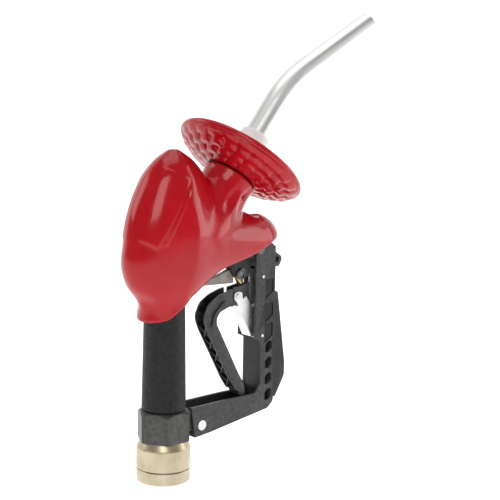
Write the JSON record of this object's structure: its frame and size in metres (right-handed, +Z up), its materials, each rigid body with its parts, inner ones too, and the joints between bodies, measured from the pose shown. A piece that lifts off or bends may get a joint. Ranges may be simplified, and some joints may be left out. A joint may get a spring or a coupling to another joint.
{
  "type": "automatic fuel nozzle",
  "caption": "Hand-held automatic shut-off fuel nozzle: bent spout, splash guard, covered valve body, lever with hold-open clip inside a guard, straight grip and hose swivel.",
  "frame": {"origin": "centre of the hose inlet's mouth, on the handle's axis", "axes": "+Z up the handle, +X towards the lever and guard, symmetric about the XZ plane"},
  "size_m": [0.2858, 0.12, 0.3991],
  "materials": {
    "gold_zinc": "gold passivated zinc plating, satin",
    "black_casting": "black powder coat, fine grain",
    "grey_casting": "bare grey-brown casting",
    "black_grip": "matt textured vinyl sleeve",
    "black_plastic": "moulded glass-filled plastic, satin",
    "black_rubber": "plain",
    "red_vinyl": "glossy moulded red vinyl",
    "white_nut": "white coated nut",
    "white_polymer": "plain",
    "spout_aluminium": "drawn aluminium, fine lengthwise grain",
    "dull_aluminium": "drawn tube, dull",
    "zinc_plated": "bright zinc plated strip",
    "steel": "ground stainless steel",
    "dark_steel": "blackened steel",
    "brass": "machined brass"
  },
  "bodies": {
    "nozzle_body": {"swivel_body": "gold_zinc", "body_casting": "black_casting", "grip_sleeve": "black_grip", "stem_gland": "brass", "stem_packing": "white_polymer", "valve_cap": "black_casting", "valve_cap_oring": "black_rubber", "brace_arm": "grey_casting", "arm_pin": "steel", "boss_rivets": "dark_steel", "latch_bush": "brass", "diaphragm": "black_rubber", "diaphragm_spring": "steel", "vacuum_cap": "black_plastic", "check_seat": "brass", "spout_tube": "spout_aluminium", "vent_tube": "dull_aluminium", "spout_orings": "black_rubber", "spout_nut": "white_nut", "splash_guard": "red_vinyl", "neck_ring": "black_rubber", "lever_guard": "black_plastic", "guard_pin": "zinc_plated", "guard_screw": "dark_steel", "hold_open_rack": "zinc_plated", "rack_pins": "zinc_plated", "scuff_guard": "red_vinyl"},
    "swivel": {"swivel_ring": "gold_zinc", "swivel_orings": "black_rubber", "swivel_balls": "steel"},
    "latch": {"latch_stem": "steel", "latch_balls": "steel", "lever_pivot_pin": "steel"},
    "lever": {"lever": "black_plastic", "lever_pad": "steel", "clip_rivet": "zinc_plated", "clip_spring": "steel"},
    "clip": {"hold_open_clip": "zinc_plated"},
    "stem": {"main_stem": "steel", "stem_tip": "brass", "main_poppet": "brass", "poppet_seal": "black_rubber", "main_spring": "steel"},
    "diaphragm_pin": {"latch_pin": "steel", "diaphragm_plate": "zinc_plated"},
    "check_valve": {"check_poppet": "white_polymer", "check_spring": "steel"}
  },
  "joints": [
    {"name": "swivel_spin", "type": "hinge", "parent": "nozzle_body", "child": "swivel", "pos_m": [0, 0, 0.02], "axis": [0, 0, 1], "continuous": true},
    {"name": "latch_drop", "type": "slide", "parent": "nozzle_body", "child": "latch", "axis": [0, 0, 1], "range_m": [-0.008, 0], "stiffness_N_per_m": 600, "springref_m": 0.004},
    {"name": "lever_hinge", "type": "hinge", "parent": "latch", "child": "lever", "pos_m": [0.1095, 0, 0.157], "axis": [0, 1, 0], "range_deg": [0, 15], "stiffness_Nm_per_rad": 1.5, "springref_deg": -17.19},
    {"name": "clip_hinge", "type": "hinge", "parent": "lever", "child": "clip", "pos_m": [0.0792, 0, 0.1532], "axis": [0, 1, 0], "range_deg": [0, 20], "stiffness_Nm_per_rad": 0.02, "springref_deg": -17.19},
    {"name": "stem_lift", "type": "slide", "parent": "nozzle_body", "child": "stem", "axis": [-0.5, 0, 0.866], "range_m": [0, 0.0086]},
    {"name": "latch_pin_lift", "type": "slide", "parent": "nozzle_body", "child": "diaphragm_pin", "axis": [0, 0, 1], "range_m": [0, 0.003], "stiffness_N_per_m": 300, "springref_m": -0.002, "deforming": ["diaphragm_spring"]},
    {"name": "check_open", "type": "slide", "parent": "nozzle_body", "child": "check_valve", "axis": [0.6388, 0, 0.7694], "range_m": [0, 0.005], "stiffness_N_per_m": 200, "springref_m": -0.002}
  ],
  "couplings": [
    {"joint": "stem_lift", "follows": "lever_hinge", "m_per_rad": 0.0325}
  ]
}
